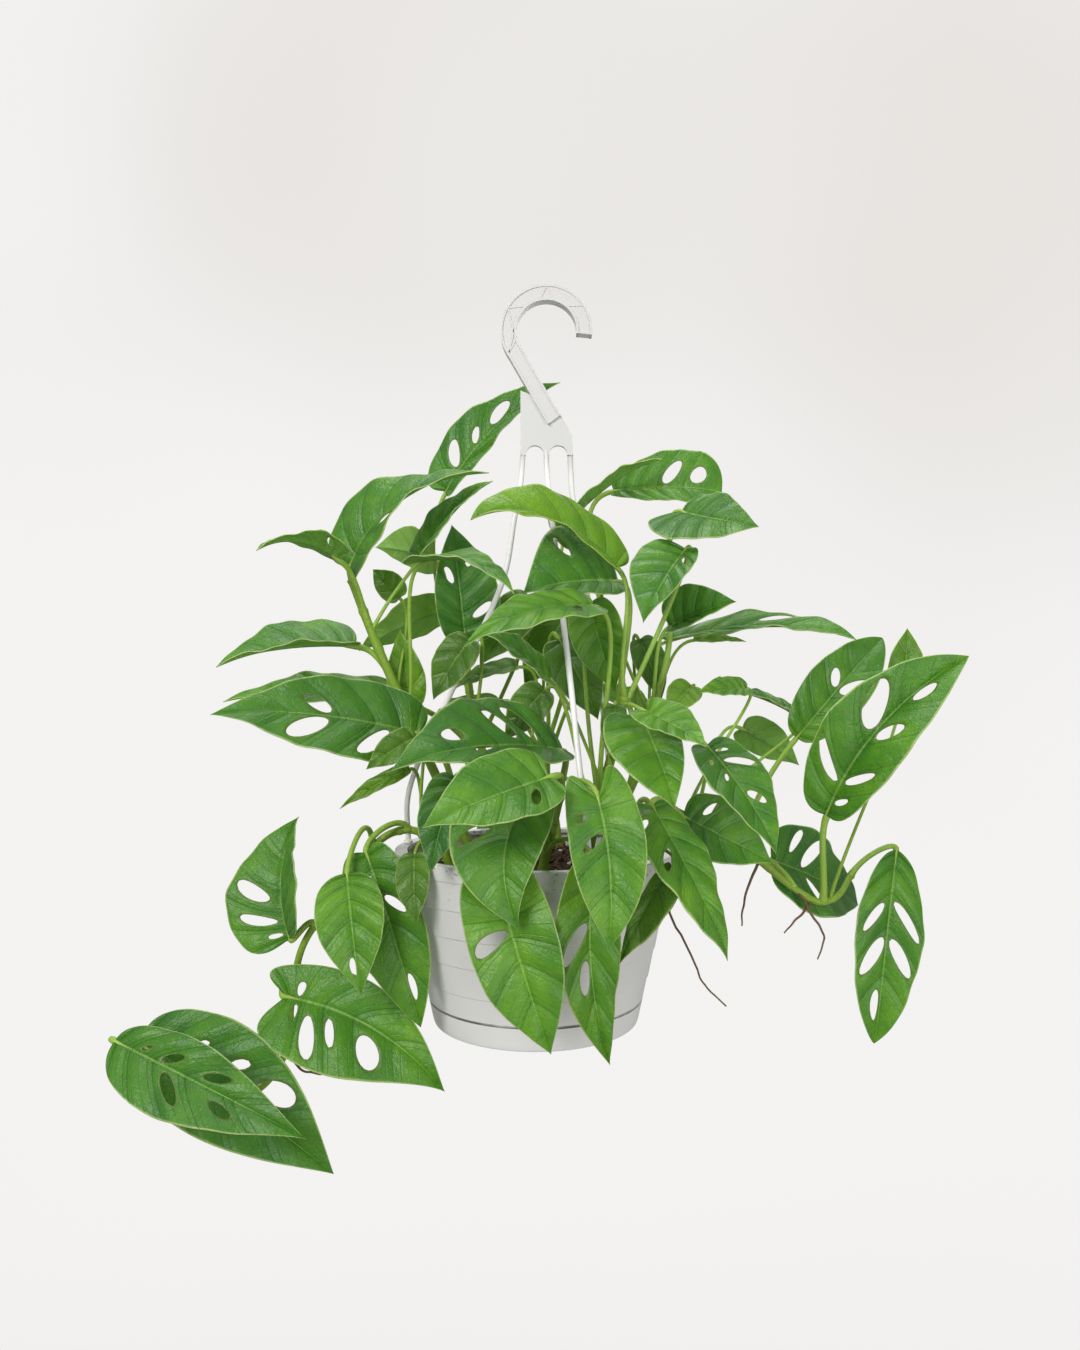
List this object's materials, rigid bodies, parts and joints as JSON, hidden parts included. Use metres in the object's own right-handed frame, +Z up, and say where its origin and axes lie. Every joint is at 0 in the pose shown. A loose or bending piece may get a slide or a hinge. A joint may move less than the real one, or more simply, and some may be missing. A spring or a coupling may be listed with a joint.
{
  "type": "monstera adansonii in hanging pot",
  "caption": "Trailing house plant with pierced leaves in a white plastic hanging pot with saucer, hook and three strands.",
  "frame": {"origin": "inside of the hook's crown, where a rod carries the pot", "axes": "+Z up along the pot's axis, -Y towards the front, +X to the right seen from the front"},
  "size_m": [0.4652, 0.2724, 0.4891],
  "materials": {
    "white_plastic": "satin white plastic",
    "hanger_plastic": "satin white plastic",
    "soil": "loose crumbly potting soil",
    "stem_green": "smooth living stem",
    "leaf_green": "satin leaf",
    "leaf_lime": "satin young leaf"
  },
  "bodies": {
    "root": {"saucer": "white_plastic", "pot": "white_plastic", "hanger": "hanger_plastic", "soil": "soil", "stem_left": "stem_green", "stem_back_left": "stem_green", "stem_centre": "stem_green", "stem_right": "stem_green", "stem_front": "stem_green", "stem_edge": "stem_green", "stem_rear": "stem_green", "vine_right": "stem_green", "vine_left": "stem_green", "leaf_left_top": "leaf_green", "leaf_left_far": "leaf_green", "leaf_left_behind": "leaf_lime", "leaf_left_spear": "leaf_green", "leaf_back_dark": "leaf_green", "leaf_mid_flat": "leaf_green", "leaf_back_lime": "leaf_lime", "leaf_left_wing": "leaf_green", "leaf_left_long_back": "leaf_green", "leaf_left_long": "leaf_green", "leaf_front_wide": "leaf_green", "leaf_front_tongue": "leaf_green", "leaf_left_hang": "leaf_green", "leaf_front_hang_left": "leaf_green", "leaf_pot_front_left": "leaf_green", "leaf_pot_front_right": "leaf_lime", "leaf_front_hang_right": "leaf_green", "leaf_rim_right": "leaf_green", "leaf_heart_top": "leaf_green", "leaf_heart_hang": "leaf_green", "leaf_right_pierced": "leaf_green", "leaf_right_big": "leaf_green", "leaf_right_big_back": "leaf_green", "leaf_right_long": "leaf_green", "leaf_right_hood": "leaf_green", "leaf_right_shield": "leaf_green", "leaf_right_top_round": "leaf_green", "leaf_top_right": "leaf_green", "leaf_top_right_edge": "leaf_green", "leaf_crown_lime": "leaf_lime", "leaf_crown_under": "leaf_green", "leaf_centre_light": "leaf_green", "leaf_centre_pale": "leaf_green", "leaf_centre_brown": "leaf_green", "leaf_right_cup": "leaf_green", "leaf_right_low_edge": "leaf_green", "leaf_right_pale": "leaf_green", "leaf_right_under": "leaf_green", "leaf_right_fan": "leaf_green", "leaf_right_end": "leaf_green", "leaf_left_up": "leaf_green", "leaf_left_rim_light": "leaf_green", "leaf_left_rim_dark": "leaf_green", "leaf_left_low": "leaf_green", "leaf_left_end_back": "leaf_green", "leaf_left_end": "leaf_green", "leaf_top_back": "leaf_green"}
  },
  "joints": []
}
